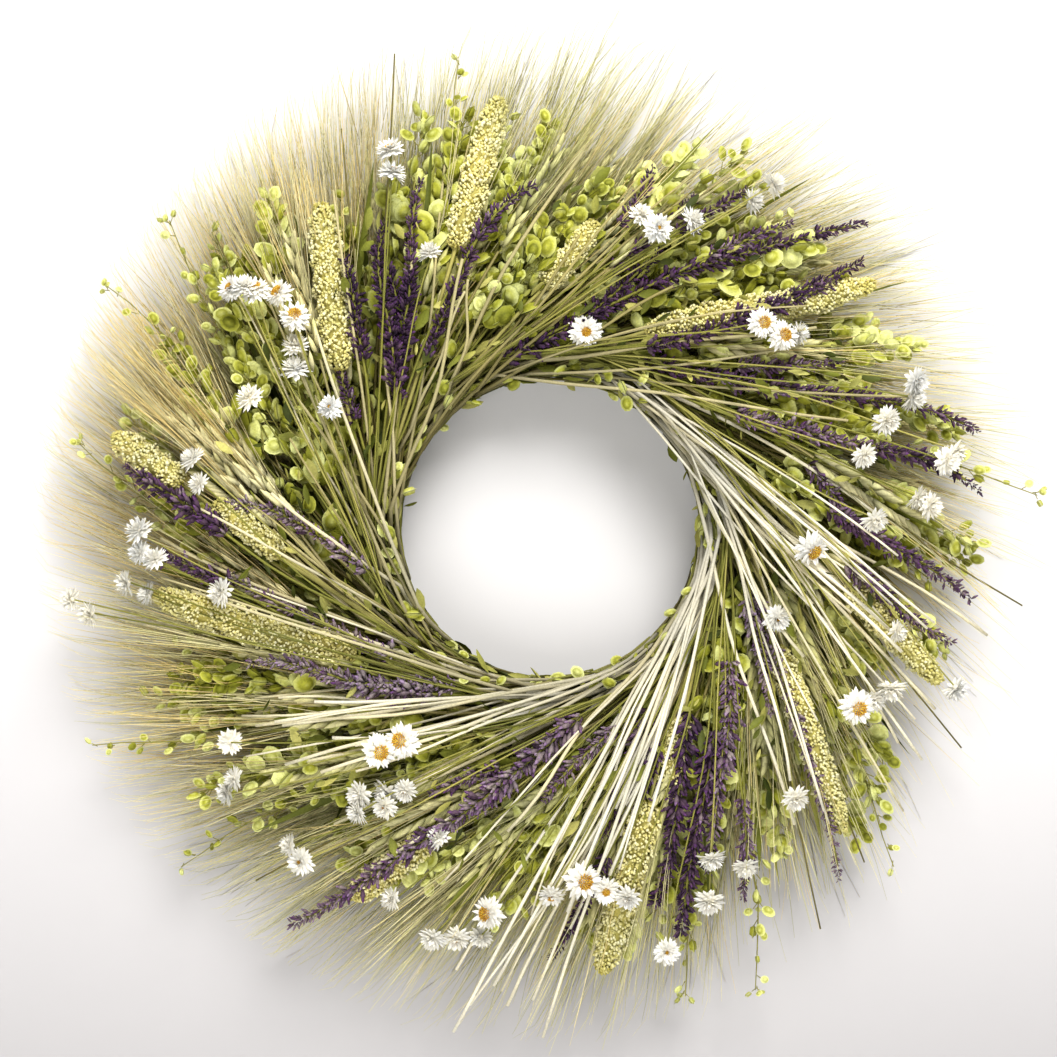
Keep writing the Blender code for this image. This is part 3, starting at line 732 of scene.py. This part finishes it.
def pod_spray_shape(rng, pods, length, size, bend=0.0):
    """Return a pennycress spray: pods on short stalks up a thin stem that may bend over."""
    heap = Heap()
    share = np.sort(rng.random(pods))
    heights = share * length
    turn = np.arange(pods) * GOLDEN_TURN + rng.normal(0.0, 0.3, pods)
    out = np.stack([np.cos(turn), np.sin(turn), np.zeros(pods)], axis=1)
    rise = rng.uniform(0.7, 1.5, pods)
    along = unit(out + UP_AXIS * rise[:, None])
    reach = rng.uniform(4.0, 9.0, pods) * (1.0 - 0.55 * share)
    roots = np.stack([bend * share ** 2, np.zeros(pods), heights], axis=1)
    tips = roots + along * reach[:, None]
    t = np.linspace(0.0, 1.0, 2)[None, :, None]
    stalks = roots[:, None, :] + (tips - roots)[:, None, :] * t
    add_tubes(heap, stalks, np.array([[0.35, 0.28]]), 3, 0.55, 0.0)
    face = unit(np.cross(along, out) * rng.normal(0.0, 1.0, pods)[:, None] + out * 0.6
                + rng.normal(0.0, 0.5, (pods, 3)))
    nod = unit(along + rng.normal(0.0, 0.25, (pods, 3)))
    sizes = size * rng.uniform(0.7, 1.15, pods) * (1.0 - 0.4 * share ** 2)
    swell = rng.uniform(0.7, 1.4, pods)
    scale = np.stack([sizes * rng.uniform(0.95, 1.2, pods), sizes * swell, sizes], axis=1)
    axes = axes_for(nod, np.cross(nod, face))
    add_copies(heap, pod, tips, axes, scale, random_tones(rng, 0.6, 0.2, pods))
    up = np.linspace(0.0, 1.0, 6)
    axis = np.stack([bend * up ** 2, np.zeros(6), up * length], axis=1)[None]
    axis[0, :, :2] += rng.normal(0.0, 0.8, (6, 2))
    add_tubes(heap, axis, np.linspace(0.6, 0.3, 6)[None, :], 4, 0.5, 0.0)
    return shape_of(heap)


def floret_shape():
    """Return a salvia calyx with the rest of its flower, one long."""
    heap = Heap()
    calyx = turned_shape(((0.0, 0.06), (0.50, 0.20), (0.72, 0.12)), 4, 1.0)
    bloom = turned_shape(((0.45, 0.07), (0.80, 0.14), (1.0, 0.04)), 3, 0.5)
    for shape in (calyx, bloom):
        tints = np.stack([shape["tone"] + 0.5, shape["along"], shape["part"]], axis=1)
        heap.add(shape["points"], shape["faces"], tints)
    return shape_of(heap)


def ammobium_shape(rng, lowest, highest, centre):
    """Return a winged everlasting head, facing along the third axis, about 17 across.

    Its pointed papery bracts stand from the lowest to the highest tilt, in degrees.
    """
    heap = Heap()
    petal = blade_shape(((0.0, 0.09), (0.4, 0.19), (0.75, 0.13), (1.0, 0.005)), 0.6, 0.14, 0.5)
    rows = 6
    for row in range(rows):
        count = 15 - row
        turn = FULL_TURN * (np.arange(count) + 0.5 * (row % 2)) / count
        turn = turn + rng.normal(0.0, 0.10, count)
        share = row / (rows - 1.0)
        out = np.stack([np.cos(turn), np.sin(turn), np.zeros(count)], axis=1)
        tilt = np.radians(lowest + (highest - lowest) * share) + rng.normal(0.0, 0.14, count)
        along = np.cos(tilt)[:, None] * out + np.sin(tilt)[:, None] * UP_AXIS
        inner = np.cross(np.cross(out, UP_AXIS), along)
        places = out * (1.5 + 0.9 * share * centre) + UP_AXIS * (0.4 + 2.4 * share)
        lengths = (8.2 - 2.8 * share) * rng.uniform(0.85, 1.12, count)
        axes = axes_for(along, np.cross(along, inner))
        add_copies(heap, petal, places, axes, lengths, rng.uniform(0.5, 1.0, count))
    buds = 46
    spot = np.sqrt((np.arange(buds) + 0.5) / buds)
    turn = np.arange(buds) * GOLDEN_TURN
    wide = 0.7 + 3.0 * centre
    places = np.stack([
        wide * spot * np.cos(turn),
        wide * spot * np.sin(turn),
        2.2 + 2.4 * centre * (1.0 - 0.6 * spot ** 2),
    ], axis=1)
    up = unit(places * np.array([0.5, 0.5, 0.0]) + 2.0 * UP_AXIS)
    bud = turned_shape(((-0.6, 0.5), (0.5, 0.55), (1.0, 0.2)), 5, 1.0)
    axes = axes_for(up, np.tile([1.0, 0.1, 0.0], (buds, 1)))
    tone = rng.uniform(0.35, 1.0, buds) * (0.4 + 0.5 * centre)
    add_copies(heap, bud, places, axes, np.full(buds, 0.45 + 0.35 * centre), tone)
    cup = turned_shape(((-2.4, 0.6), (-1.2, 1.6), (0.8, 2.4), (2.2, 1.8)), 8, 0.5)
    heap.add(cup["points"], cup["faces"], np.stack([cup["tone"] + 0.2, cup["along"], cup["part"]], axis=1))
    return shape_of(heap)


shape_rng = np.random.default_rng(11)
wheat_heads = [wheat_head_shape(shape_rng) for _ in range(4)]
pod = pod_shape()
pod_sprays = [pod_spray_shape(shape_rng, *spray) for spray in POD_SPRAYS]
trailing_sprays = [pod_spray_shape(shape_rng, 17, 84.0, 8.4, bend) for bend in (16.0, -12.0)]
floret = floret_shape()
ammobium_open = [ammobium_shape(shape_rng, -22.0, 34.0, 1.0) for _ in range(2)]
ammobium_half = [ammobium_shape(shape_rng, -16.0, 52.0, 0.6) for _ in range(2)]
ammobium_shut = [ammobium_shape(shape_rng, -10.0, 78.0, 0.1) for _ in range(3)]
seed = turned_shape(((0.0, 0.22), (0.5, 0.52), (1.0, 0.12)), 4, 0.5)
leaf = blade_shape(((0.0, 0.03), (0.25, 0.16), (0.55, 0.20), (0.85, 0.11), (1.0, 0.01)), 0.5, 0.2, 1.0)


# ---- bunches

def build_wheat(bunch):
    """Build the wheat of one bunch: stems, heads and a few heads further forward."""
    rng = np.random.default_rng(100 + bunch)
    heap = Heap()
    back, front = BEARD_HEADS[bunch], FRONT_HEADS[bunch]
    count = back + front
    share = np.concatenate([(np.arange(back) + rng.uniform(0.1, 0.9, back)) / back,
                            rng.uniform(0.1, 0.9, front)])
    end = np.concatenate([rng.uniform(216.0, 276.0, back), rng.uniform(196.0, 250.0, front)])
    end = end + BEARD_REACH[bunch]
    depth = np.concatenate([rng.uniform(*WHEAT_DEPTH, back),
                            rng.uniform(*FRONT_WHEAT_DEPTH, front)])
    head_run = end - WHEAT_REACH
    base = rng.uniform(97.0, 108.0, count)
    paths = stem_paths(rng, bunch, share, head_run, depth, base, 3.5, 2.5)
    tone = random_tones(rng, BEARD_TONES[bunch], 0.12, count)
    add_tubes(heap, paths, np.linspace(1.1, 0.8, paths.shape[1])[None, :], 5, tone * 0.45, 0.0)
    ahead = unit(paths[:, -1] - paths[:, -3])
    fall = (layer_y(depth, end) - layer_y(depth, head_run)) / WHEAT_REACH
    ahead[:, 1] = fall + rng.normal(0.0, 0.03, count)
    axes = axes_for(ahead, outward(ahead, rng.uniform(0.0, FULL_TURN, count)))
    scale = rng.uniform(0.86, 1.06, count) * np.where(np.arange(count) < back, 1.0, 1.2)
    for kind, shape in enumerate(wheat_heads):
        mine = np.arange(count) % len(wheat_heads) == kind
        add_copies(heap, shape, paths[mine, -1], axes[mine], scale[mine], tone[mine])
    loose = LOOSE_AWNS[bunch]
    share = (rng.integers(0, 14, loose) + rng.normal(0.5, 0.22, loose)) / 14.0
    start_run = rng.uniform(165.0, 226.0, loose) + BEARD_REACH[bunch]
    length = rng.uniform(46.0, 78.0, loose)
    depth = rng.uniform(-40.0, -6.0, loose)
    foot = bunch_foot(bunch, share)
    roots = layer_point(foot, start_run, depth)
    way = np.radians(foot + rng.normal(0.0, 7.0, loose))
    ahead = np.stack([np.cos(way), rng.normal(0.02, 0.10, loose), -np.sin(way)], axis=1)
    bend = rng.normal(0.0, 2.5, (loose, 1, 3))
    shade = random_tones(rng, BEARD_TONES[bunch] - 0.1, 0.25, loose)
    add_awns(heap, roots, ahead, length, bend, shade)
    heap.build("wheat", bunch, "wheat_straw", "wheat_sheaf")


def build_pennycress(bunch):
    """Build the pennycress of one bunch and the leaves among it."""
    rng = np.random.default_rng(200 + bunch)
    heap = Heap()
    count, low, high, near, far = PENNYCRESS[bunch]
    share = low + (high - low) * (np.arange(count) + rng.uniform(0.1, 0.9, count)) / count
    rng.shuffle(share)
    end = near + (far - near) * (np.arange(count) + rng.random(count)) / count
    depth = rng.uniform(*PENNYCRESS_DEPTH, count)
    kinds = rng.integers(0, len(pod_sprays), count)
    lengths = np.array([length for _, length, _ in POD_SPRAYS])[kinds]
    scale = rng.uniform(0.85, 1.1, count)
    start_run = end - lengths * scale
    base = rng.uniform(94.0, 106.0, count)
    paths = stem_paths(rng, bunch, share, start_run, depth, base, 2.5, 1.5)
    tone = random_tones(rng, 0.58, 0.15, count)
    add_tubes(heap, paths, 0.75, 5, tone, 0.0)
    ahead = unit(paths[:, -1] - paths[:, -3])
    ahead[:, 1] = (layer_y(depth, end) - layer_y(depth, start_run)) / (end - start_run)
    axes = axes_for(ahead, outward(ahead, rng.uniform(*ANY_TURN, count)))
    for kind, shape in enumerate(pod_sprays):
        mine = kinds == kind
        if mine.any():
            add_copies(heap, shape, paths[mine, -1], axes[mine], scale[mine], tone[mine])
    for place_bunch, share, run in TRAILING_SPRAYS:
        if place_bunch != bunch + 1:
            continue
        paths = stem_paths(rng, bunch, share, run - TRAILING_REACH, -48.0, 100.0, 1.0, 1.0)
        add_tubes(heap, paths, 0.7, 5, 0.6, 0.0)
        ahead = unit(paths[:, -1] - paths[:, -3])
        axes = axes_for(ahead, outward(ahead, rng.uniform(*ANY_TURN, 1)))
        shape = trailing_sprays[rng.integers(0, 2)]
        add_copies(heap, shape, paths[:, -1], axes, np.ones(1), np.full(1, 0.6))
    blades = 34
    share = rng.random(blades)
    start_run = rng.uniform(20.0, 120.0, blades)
    length = rng.uniform(60.0, 110.0, blades)
    depth = rng.uniform(-58.0, -30.0, blades)
    foot = bunch_foot(bunch, share)
    places = layer_point(foot, start_run, depth)
    axes = facing_axes(rng, foot, 9.0, 0.06)
    width = rng.uniform(9.0, 16.0, blades)
    scale = np.stack([width, width, length], axis=1)
    add_copies(heap, leaf, places, axes, scale, rng.uniform(0.1, 0.75, blades))
    heap.build("pennycress_spray", bunch, "pennycress_pods", "pennycress")


def head_spine(path, reach):
    """Return a path at even spacing and the share of it where a head of a given reach begins."""
    fine = resample(path, SPINE_POINTS)
    length = np.sum(np.linalg.norm(np.diff(fine, axis=0), axis=1))
    return fine, 1.0 - reach / length


def millet_taper(share, least_base, least_tip):
    """Return the width of a millet head at shares of its length, 1 where it is full."""
    base = np.clip(share / 0.12, least_base, 1.0)
    tip = np.clip((1.0 - share) / 0.22, least_tip, 1.0)
    return base ** 0.5 * tip ** 0.5


def build_setaria(bunch):
    """Build the millet heads of one bunch: seeds packed in lumps round each axis."""
    rng = np.random.default_rng(300 + bunch)
    heap = Heap()
    for share, base_run, tip_run, half in SETARIA_HEADS[bunch]:
        path = stem_paths(rng, bunch, share, tip_run, SETARIA_DEPTH, 98.0, 1.0, 2.5, 12)[0]
        add_tubes(heap, path[None], 1.1, 6, 0.8, 0.0)
        fine, begin = head_spine(path, tip_run - base_run)
        seeds = int((tip_run - base_run) * half * 2.2)
        t = (np.arange(seeds) + rng.random(seeds)) / seeds
        turn = np.arange(seeds) * GOLDEN_TURN + rng.normal(0.0, 0.2, seeds)
        point, ahead = on_path(fine, begin + (1.0 - begin) * t)
        out = outward(ahead, turn)
        body = millet_taper(t, 0.0, 0.0)
        lumps = 1.0 + 0.10 * np.sin(t * (tip_run - base_run) * 0.75 + 2.0 * np.sin(turn))
        lumps = lumps * (1.0 + 0.10 * np.sin(3.0 * turn + t * 31.0))
        radius = half * (0.25 + 0.75 * body) * lumps * rng.uniform(0.86, 1.03, seeds) - 1.0
        places = point + out * radius[:, None]
        along = unit(out + 0.7 * ahead + rng.normal(0.0, 0.35, (seeds, 3)))
        axes = axes_for(along, ahead)
        # Seeds nearer the axis, in the hollows between the lumps, get darker tones: painted shade.
        tone = np.clip(rng.normal(0.68, 0.18, seeds) + 0.8 * (radius / half - 0.85), 0.0, 1.0)
        add_copies(heap, seed, places, axes, rng.uniform(1.5, 2.3, seeds), tone)
        # The core under the seeds has a dark tone: painted shade in the gaps between the seeds.
        core_t = np.linspace(begin + 0.01, 0.995, 14)
        core, _ = on_path(fine, core_t)
        inner = (core_t - begin) / (1.0 - begin)
        thick = half * 0.78 * millet_taper(inner, 0.2, 0.05)
        add_tubes(heap, core[None], thick[None], 10, 0.1, 0.5, True)
    heap.build("millet", bunch, "setaria_seed", "setaria")


def build_salvia(bunch):
    """Build the salvia of one bunch: whorls of florets up each spike."""
    rng = np.random.default_rng(400 + bunch)
    heap = Heap()
    for share, base_run, tip_run, half, shade in SALVIA_SPIKES[bunch]:
        depth = SALVIA_DEPTH + rng.uniform(-5.0, 8.0)
        path = stem_paths(rng, bunch, share, tip_run, depth, 99.0, 2.0, 6.0, 14)[0]
        fine, begin = head_spine(path, tip_run - base_run)
        late = np.clip((np.linspace(0.0, 1.0, SPINE_POINTS) - 0.82) / 0.18, 0.0, 1.0)[:, None] ** 2
        across = unit(np.cross(fine[-1] - fine[-8], DEPTH_AXIS))
        fine = fine + late * (across * rng.normal(0.0, 7.0) + DEPTH_AXIS * rng.uniform(0.0, 4.0))
        add_tubes(heap, fine[None, ::3], 0.8, 5, 0.5, 0.0)
        whorls = int((tip_run - base_run) / 3.0)
        each = 9
        count = whorls * each
        t = np.repeat((np.arange(whorls) + 0.5) / whorls, each)
        t = np.clip(t + rng.normal(0.0, 0.25 / whorls, count), 0.0, 1.0)
        turn = np.tile(np.arange(each) * FULL_TURN / each, whorls)
        turn = turn + np.repeat(np.arange(whorls) * 0.45, each) + rng.normal(0.0, 0.4, count)
        point, ahead = on_path(fine, begin + (1.0 - begin) * t)
        out = outward(ahead, turn)
        wide = half * (1.0 - 0.5 * t ** 2) * rng.uniform(0.6, 1.2, count)
        wide = wide * np.repeat(rng.uniform(0.7, 1.2, whorls), each)
        lean = rng.uniform(0.5, 1.3, count)
        along = unit(out * lean[:, None] + ahead * 0.8 + rng.normal(0.0, 0.3, (count, 3)))
        axes = axes_for(along, ahead + 0.01)
        tone = np.clip(shade + rng.normal(0.0, 0.18, count) + 0.1 * (1.0 - t), 0.0, 1.0)
        places = point + out * (wide * rng.uniform(0.1, 0.55, count))[:, None]
        add_copies(heap, floret, places, axes, wide * rng.uniform(0.9, 1.5, count), tone)
    heap.build("salvia_spikes", bunch, "salvia_bloom", "salvia")


def build_ammobium(bunch):
    """Build the winged everlasting heads of one bunch on their stems."""
    rng = np.random.default_rng(500 + bunch)
    heap = Heap()
    for share, run, facing, centre in AMMOBIUM_HEADS[bunch]:
        depth = AMMOBIUM_DEPTH + rng.uniform(-5.0, 9.0)
        path = stem_paths(rng, bunch, share, run - 6.0, depth, 100.0, 2.0, 3.0, 12)
        add_tubes(heap, path, 0.5, 5, rng.uniform(0.3, 0.75), 0.0)
        ahead = unit(path[0, -1] - path[0, -3])
        sideways = rng.normal(0.0, 0.25, 3)
        look = unit(ahead * (1.0 - facing) - DEPTH_AXIS * facing + sideways)[None]
        shapes = ammobium_open if centre > 0.75 else ammobium_half if centre > 0.4 else ammobium_shut
        shape = shapes[rng.integers(0, len(shapes))]
        axes = axes_for(look, outward(look, rng.uniform(*ANY_TURN, 1)))
        place = path[:, -1] + look * 2.0
        size = rng.uniform(0.86, 1.12, 1) * (0.86 + 0.2 * centre)
        add_copies(heap, shape, place, axes, size, np.full(1, rng.uniform(0.45, 0.6)))
    heap.build("everlastings", bunch, "ammobium_petal", "ammobium")


def build_straws(bunch):
    """Build the bare straws and thin stems that lie in front of one bunch."""
    rng = np.random.default_rng(600 + bunch)
    heap = Heap()
    count, low, high, near, far, tone = STRAWS[bunch]
    share = rng.uniform(low, high, count)
    run = near + (far - near) * rng.random(count) ** 1.4
    depth = rng.uniform(*STRAW_DEPTH, count)
    base = rng.uniform(86.0, 98.0, count)
    paths = stem_paths(rng, bunch, share, run, depth, base, 11.0, 3.0, 12, 22.0)
    shade = random_tones(rng, tone, 0.12, count)
    thick = rng.uniform(0.62, 1.2, count)[:, None] * np.linspace(1.1, 0.8, paths.shape[1])[None, :]
    add_tubes(heap, paths, thick, 7, shade, 0.0, True, 0.8)
    for place_bunch, share, run in STRAY_STEMS:
        if place_bunch == bunch + 1:
            path = stem_paths(rng, bunch, share, run, -62.0, 100.0, 1.0, 2.0)
            add_tubes(heap, path, np.linspace(1.0, 0.5, path.shape[1])[None, :], 5, 0.05, 0.0, True)
    thin = 42
    share = rng.random(thin)
    run = rng.uniform(70.0, 180.0, thin)
    depth = rng.uniform(*THIN_STEM_DEPTH, thin)
    base = rng.uniform(86.0, 106.0, thin)
    paths = stem_paths(rng, bunch, share, run, depth, base, 4.5, 2.5, 9, 22.0)
    # The thin stems are olive-brown, made darker still as painted shade in the deep gaps between the stems.
    shade = random_tones(rng, 0.3 * tone - 0.14, 0.26, thin)
    thick = rng.uniform(0.4, 0.95, thin)[:, None]
    add_tubes(heap, paths, thick, 5, shade, 0.0)
    heap.build("straws", bunch, "wheat_straw")


def add_leaves(heap, rng, places, axes, lengths, plumpness, tones):
    """Add leaves, with ranges for their length, their width for each unit of it and their tone."""
    count = len(places)
    length = rng.uniform(*lengths, count)
    width = length * rng.uniform(*plumpness, count)
    scale = np.stack([width, width, length], axis=1)
    add_copies(heap, leaf, places, axes, scale, rng.uniform(*tones, count))


def build_greens(bunch):
    """Build the small leaves and thin stems along the inner edge of one bunch."""
    rng = np.random.default_rng(700 + bunch)
    heap = Heap()
    count = 44
    clock = FIRST_BUNCH_CLOCK + BUNCH_STEP * (bunch + rng.random(count))
    radius = rng.uniform(85.0, 108.0, count)
    y = rng.uniform(-58.0, -14.0, count)
    places = ring_point(clock, radius, y)
    axes = facing_axes(rng, clock - 8.0, 24.0, 0.25)
    add_leaves(heap, rng, places, axes, (6.0, 15.0), (0.6, 1.3), (0.3, 1.0))
    rim = 13
    clock = FIRST_BUNCH_CLOCK + BUNCH_STEP * (bunch + rng.random(rim))
    places = ring_point(clock, rng.uniform(85.0, 96.0, rim), rng.uniform(-62.0, -30.0, rim))
    axes = facing_axes(rng, clock - 20.0, 40.0, 0.4)
    add_copies(heap, pod, places, axes, rng.uniform(6.0, 11.0, rim), rng.uniform(0.4, 0.9, rim))
    bits = 190
    run = rng.uniform(15.0, 165.0, bits)
    foot = bunch_foot(bunch, rng.random(bits))
    places = layer_point(foot, run, rng.uniform(-82.0, -34.0, bits))
    axes = facing_axes(rng, foot, 32.0, 0.4)
    add_leaves(heap, rng, places, axes, (5.0, 13.0), (0.6, 1.4), (0.0, 1.0))
    stems = 22
    run = rng.uniform(24.0, 110.0, stems)
    depth = rng.uniform(-56.0, -20.0, stems)
    share = rng.random(stems)
    paths = stem_paths(rng, bunch, share, run, depth, rng.uniform(86.0, 95.0, stems), 4.0, 3.0, 7, 26.0)
    add_tubes(heap, paths, rng.uniform(0.5, 1.0, stems)[:, None], 5, rng.uniform(0.0, 0.6, stems), 0.0)
    heap.build("greens", bunch, "pennycress_pods")


for number in range(BUNCHES):
    build_wheat(number)
    build_pennycress(number)
    build_setaria(number)
    build_salvia(number)
    build_ammobium(number)
    build_straws(number)
    build_greens(number)

frame_wire = coated_wire("frame_enamel", (0.035, 0.07, 0.04), 0.42)
binding_wire = coated_wire("binding_enamel", (0.03, 0.06, 0.035), 0.36)
for name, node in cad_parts.items():
    if name.endswith(("_wire", "_rail")) or name.startswith("cross_tie"):
        node.data.materials.clear()
        node.data.materials.append(binding_wire if name == "binding_wire" else frame_wire)


# ---- room, light and camera

# Painted shade on the wall, darker below the wreath and lighter above it, in place of light falling off; and
# light from all round
WALL_PAINTED_FALLOFF = ((0.0, (0.48, 0.47, 0.48)), (0.55, (0.65, 0.64, 0.655)), (1.0, (0.74, 0.735, 0.745)))
WORLD_STRENGTH = 0.27
# Lamps: name, place from the ring centre, size, energy, colour
LIGHTS = (
    ("key", (0.32, -1.35, 1.15), 0.9, 45.0, (1.0, 0.98, 0.95)),
    ("fill", (-0.4, -1.5, -0.85), 1.2, 19.0, (1.0, 0.98, 0.94)),
    ("back", (0.3, 1.5, 0.9), 1.2, 10.0, (1.0, 1.0, 1.0)),
)


def wall_material():
    """Return white wall paint that is clear from behind, so that the back can be seen; its grey is painted
    shade, darker towards the bottom.
    """
    material, tree, shader = new_material("wall_paint_painted_falloff", 0.9)
    coords = tree.nodes.new("ShaderNodeTexCoord")
    split = tree.nodes.new("ShaderNodeSeparateXYZ")
    tree.links.new(coords.outputs["Object"], split.inputs["Vector"])
    # Painted shade: the wall gets darker towards the bottom, in place of light falling off.
    height = tree.nodes.new("ShaderNodeMapRange")
    set_inputs(height, {"From Min": RING_CENTRE[2] - 0.32, "From Max": RING_CENTRE[2] + 0.05})
    tree.links.new(split.outputs["Z"], height.inputs["Value"])
    tree.links.new(tone_of(tree, height.outputs["Result"], WALL_PAINTED_FALLOFF), shader.inputs["Base Color"])
    clear = tree.nodes.new("ShaderNodeBsdfTransparent")
    side = tree.nodes.new("ShaderNodeNewGeometry")
    mix = tree.nodes.new("ShaderNodeMixShader")
    tree.links.new(side.outputs["Backfacing"], mix.inputs[0])
    tree.links.new(shader.outputs[0], mix.inputs[1])
    tree.links.new(clear.outputs[0], mix.inputs[2])
    tree.links.new(mix.outputs[0], tree.nodes["Material Output"].inputs["Surface"])
    return material


def add_panel(name, centre, across, up, material):
    """Add a flat panel of the room."""
    mesh = bpy.data.meshes.new(name)
    corners = [centre - across - up, centre + across - up, centre + across + up, centre - across + up]
    mesh.from_pydata([tuple(corner) for corner in corners], [], [(0, 1, 2, 3)])
    mesh.materials.append(material)
    panel = new_object(name, mesh)
    return panel


def add_area_light(name, place, target, size, energy, colour):
    """Add a square area light aimed at a point."""
    light = bpy.data.lights.new(name, "AREA")
    light.size = size
    light.energy = energy
    light.color = colour
    lamp = new_object(name, light)
    lamp.location = place
    lamp.rotation_euler = (target - place).to_track_quat("-Z", "Y").to_euler()


CENTRE = Vector(RING_CENTRE)
wall = add_panel(
    "wall", CENTRE + Vector((0.0, WALL_GAP, 0.4)), Vector((2.5, 0.0, 0.0)), Vector((0.0, 0.0, 1.9)),
    wall_material(),
)
wall.visible_shadow = False
floor_paint, _, floor_shader = new_material("floor_paint", 0.8)
set_inputs(floor_shader, {"Base Color": (0.8, 0.8, 0.8, 1.0)})
add_panel(
    "floor", CENTRE + Vector((0.0, 0.0, -1.1)), Vector((3.0, 0.0, 0.0)), Vector((0.0, 3.0, 0.0)), floor_paint
)

world = bpy.data.worlds.new("studio")
bpy.context.scene.world = world
world.use_nodes = True
sky = world.node_tree.nodes["Background"]
set_inputs(sky, {"Color": (1.0, 1.0, 1.0, 1.0), "Strength": WORLD_STRENGTH})
for light_name, offset, light_size, energy, light_colour in LIGHTS:
    add_area_light(light_name, CENTRE + Vector(offset), CENTRE, light_size, energy, light_colour)

# Camera: film width in millimetres, and lengths in metres
SENSOR = 36.0
DISTANCE = 1.30
FRAME_WIDTH = 0.602
AIM_LEFT = 0.0122
MIDDLE_DEPTH = -0.045
camera_data = bpy.data.cameras.new("camera")
camera_data.sensor_width = SENSOR
camera_data.lens = SENSOR * DISTANCE / FRAME_WIDTH
camera = new_object("camera", camera_data)
camera.location = CENTRE + Vector((-AIM_LEFT, MIDDLE_DEPTH - DISTANCE, 0.0))
camera.rotation_euler = (math.pi / 2.0, 0.0, 0.0)
bpy.context.scene.camera = camera
bpy.context.scene.view_settings.view_transform = "Standard"
bpy.context.scene.view_settings.look = "None"
